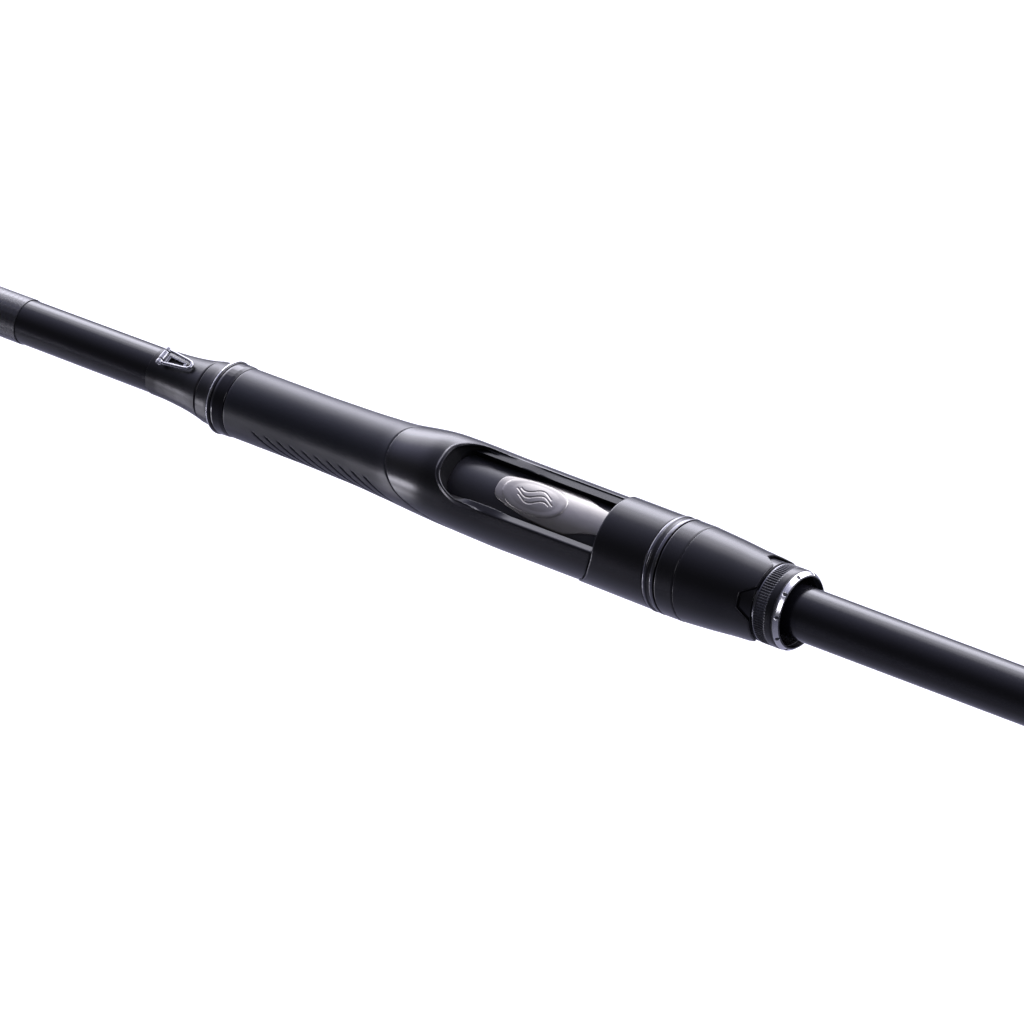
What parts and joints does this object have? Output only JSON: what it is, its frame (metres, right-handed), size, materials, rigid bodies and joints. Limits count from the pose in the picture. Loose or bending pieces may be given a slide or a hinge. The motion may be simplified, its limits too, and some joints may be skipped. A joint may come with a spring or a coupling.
{
  "type": "spinning rod",
  "caption": "Two-piece spinning rod with a windowed skeleton reel seat, threaded locking hood, moulded fore grip, folding hook keeper and hanging line guides.",
  "frame": {"origin": "centre of the flat end of the butt cap, on the rod axis", "axes": "+X along the rod from butt to tip; +Z the upper side with the seat's window; the reel and the line guides hang on -Z"},
  "size_m": [1.9801, 0.0294, 0.0545],
  "materials": {
    "rubber_cap": "matte",
    "satin_silver": "satin",
    "grip_foam": "matte foam",
    "blue_black_tube": "satin carbon tube",
    "satin_black_blank": "satin carbon blank",
    "pipe_satin": "satin",
    "black_resin": "satin",
    "bushing_tan": "matte",
    "gloss_black": "gloss",
    "satin_gloss_black": "satin gloss",
    "stainless": "satin",
    "badge_silver": "satin",
    "soft_touch": "matte soft touch",
    "bright_silver": "polished",
    "dark_chrome": "polished",
    "dark_metal": "satin knurled",
    "wrap_epoxy": "gloss thread wrap",
    "carbon_weave": "clear coated woven carbon",
    "guide_metal": "dark satin",
    "ring_ceramic": "polished ceramic"
  },
  "bodies": {
    "butt_section": {"butt_cap": "rubber_cap", "butt_trim_ring": "satin_silver", "rear_grip": "grip_foam", "rear_grip_ring": "satin_silver", "rear_tube": "blue_black_tube", "butt_blank": "satin_black_blank", "seat_pipe": "pipe_satin", "threaded_barrel": "black_resin", "pipe_bushings": "bushing_tan", "seat_body": "gloss_black", "fixed_hood_liner": "stainless", "badge_plate": "badge_silver", "fore_grip": "soft_touch", "front_collar": "gloss_black", "front_trim_ring": "bright_silver", "front_cone": "gloss_black", "taper_wrap": "wrap_epoxy", "keeper_base": "stainless", "keeper_pin": "stainless", "woven_sleeve": "carbon_weave", "guide_1_frame": "guide_metal", "guide_1_ring": "ring_ceramic", "butt_wraps": "wrap_epoxy"},
    "hood": {"moving_hood": "satin_gloss_black", "hood_cushion": "soft_touch", "hood_trim_ring": "dark_chrome", "hood_snap_ring": "stainless"},
    "nut": {"nut_band": "satin_gloss_black", "nut_barrel": "satin_gloss_black", "nut_core": "gloss_black", "nut_thread": "black_resin", "knurled_ring": "dark_metal", "nut_bezel": "bright_silver"},
    "keeper": {"keeper_loop": "stainless"},
    "tip_section": {"tip_blank": "satin_black_blank", "ferrule_ring": "satin_silver", "ferrule_wrap": "wrap_epoxy", "guide_2_frame": "guide_metal", "guide_2_ring": "ring_ceramic", "guide_3_frame": "guide_metal", "guide_3_ring": "ring_ceramic", "guide_4_frame": "guide_metal", "guide_4_ring": "ring_ceramic", "guide_5_frame": "guide_metal", "guide_5_ring": "ring_ceramic", "guide_6_frame": "guide_metal", "guide_6_ring": "ring_ceramic", "guide_7_frame": "guide_metal", "guide_7_ring": "ring_ceramic", "tip_wraps": "wrap_epoxy", "tip_top_frame": "guide_metal", "tip_top_ring": "ring_ceramic"}
  },
  "joints": [
    {"name": "hood_travel", "type": "slide", "parent": "butt_section", "child": "hood", "axis": [-1, 0, 0], "range_m": [0, 0.02]},
    {"name": "nut_turn", "type": "hinge", "parent": "hood", "child": "nut", "pos_m": [0.2825, 0, 0], "axis": [1, 0, 0], "range_deg": [-2881, 0]},
    {"name": "keeper_fold", "type": "hinge", "parent": "butt_section", "child": "keeper", "pos_m": [0.4963, -0.00129, 0.00921], "axis": [0, 0.9903, 0.1392], "range_deg": [0, 95]},
    {"name": "tip_pull_off", "type": "slide", "parent": "butt_section", "child": "tip_section", "axis": [1, 0, 0], "range_m": [0, 0.09]}
  ],
  "couplings": [
    {"joint": "nut_turn", "follows": "hood_travel", "rad_per_m": -2513.3}
  ]
}
